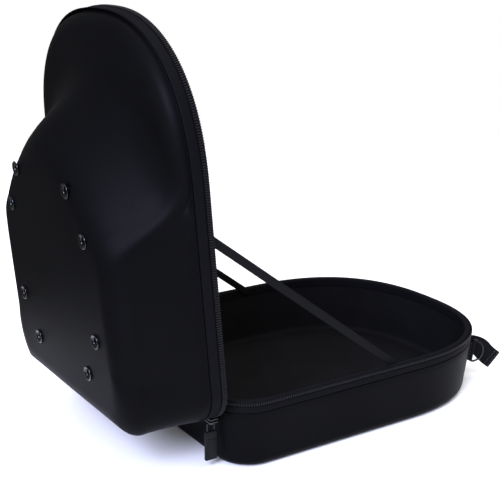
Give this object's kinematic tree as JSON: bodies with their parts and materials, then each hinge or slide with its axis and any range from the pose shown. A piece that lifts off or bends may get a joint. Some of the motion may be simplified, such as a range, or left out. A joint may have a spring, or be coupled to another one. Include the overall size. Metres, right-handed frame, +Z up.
{
  "type": "baseball cap carrier case",
  "caption": "Hard moulded carrying case for baseball caps, open: base tray, and a vented lid with a crown and a lower brim end on a cloth hinge, with zip band, stay tapes and D ring.",
  "frame": {"origin": "middle of the base tray's flat bottom", "axes": "+Z up, +X from the hinge to the rounded brim end, +Y across the case"},
  "size_m": [0.4352, 0.2518, 0.3601],
  "materials": {
    "shell_cloth": "matte black cloth heat-pressed on moulded foam",
    "tape_cloth": "black woven polyester tape and webbing",
    "zip_coil": "black nylon coil",
    "black_metal": "black lacquered metal",
    "bright_wire": "dark nickel-plated wire",
    "pull_rubber": "moulded dark grey rubber"
  },
  "bodies": {
    "root": {"base_shell": "shell_cloth", "lid_shell": "shell_cloth", "vent_eyelet_1": "black_metal", "vent_eyelet_2": "black_metal", "vent_eyelet_3": "black_metal", "vent_eyelet_4": "black_metal", "vent_eyelet_5": "black_metal", "vent_eyelet_6": "black_metal", "vent_eyelet_7": "black_metal", "vent_eyelet_8": "black_metal", "base_zip_tape": "tape_cloth", "base_zip_coil": "zip_coil", "lid_zip_tape": "tape_cloth", "lid_zip_coil": "zip_coil", "hinge_strip": "tape_cloth", "stay_tape_near": "tape_cloth", "stay_tape_far": "tape_cloth", "zip_slider_near": "black_metal", "zip_slider_far": "black_metal", "pull_wire_near": "bright_wire", "pull_wire_far": "bright_wire", "zip_pull_near": "pull_rubber", "zip_pull_far": "pull_rubber", "ring_tab": "tape_cloth", "d_ring": "bright_wire", "grab_tab": "tape_cloth"}
  },
  "joints": []
}
